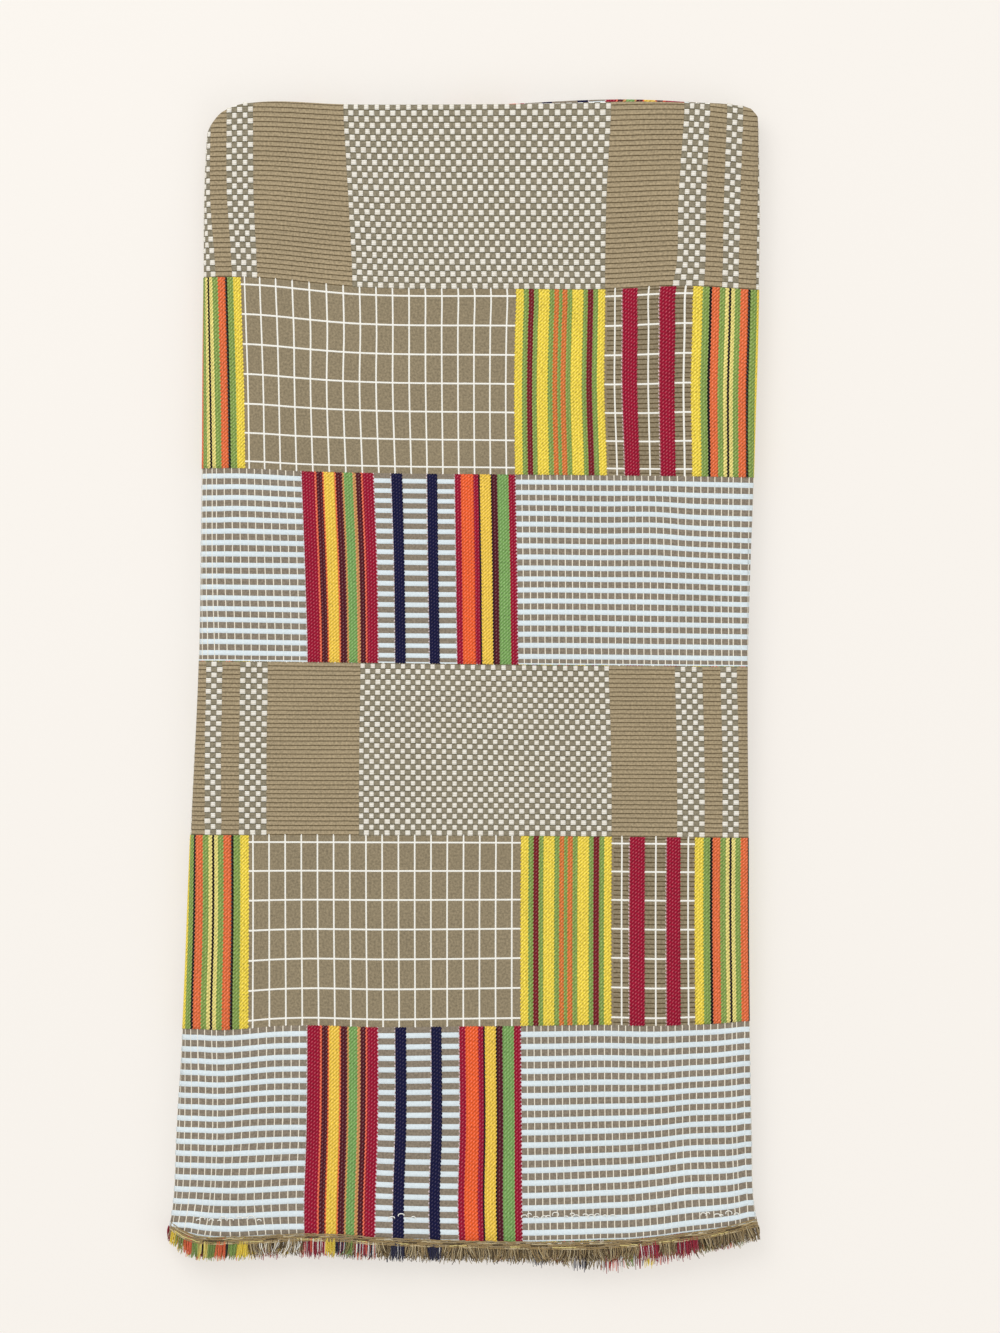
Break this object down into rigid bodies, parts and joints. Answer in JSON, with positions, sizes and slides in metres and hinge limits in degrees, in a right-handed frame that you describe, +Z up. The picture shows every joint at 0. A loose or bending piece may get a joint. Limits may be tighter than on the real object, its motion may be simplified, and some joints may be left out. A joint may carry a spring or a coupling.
{
  "type": "folded woven fabric with fringed selvages",
  "caption": "Length of striped and checked woven cotton cloth, doubled and folded flat, with a short cut fringe.",
  "frame": {"origin": "centre of the bounding box's bottom, on the surface that the folded cloth rests on", "axes": "+Y towards the fold at the top, +Z up through the layers, +X across the pile towards its tight fold"},
  "size_m": [0.3052, 0.605, 0.0165],
  "materials": {
    "woven_cloth": "ribbed and checked beige cotton with white, yellow, green, orange, crimson and navy stripes",
    "fringe_yarn": "cut cotton yarn ends, tan with the colours of the stripes above them"
  },
  "bodies": {
    "root": {"folded_cloth": "woven_cloth", "selvage_fringe_front": "fringe_yarn", "selvage_fringe_back": "fringe_yarn"}
  },
  "joints": []
}
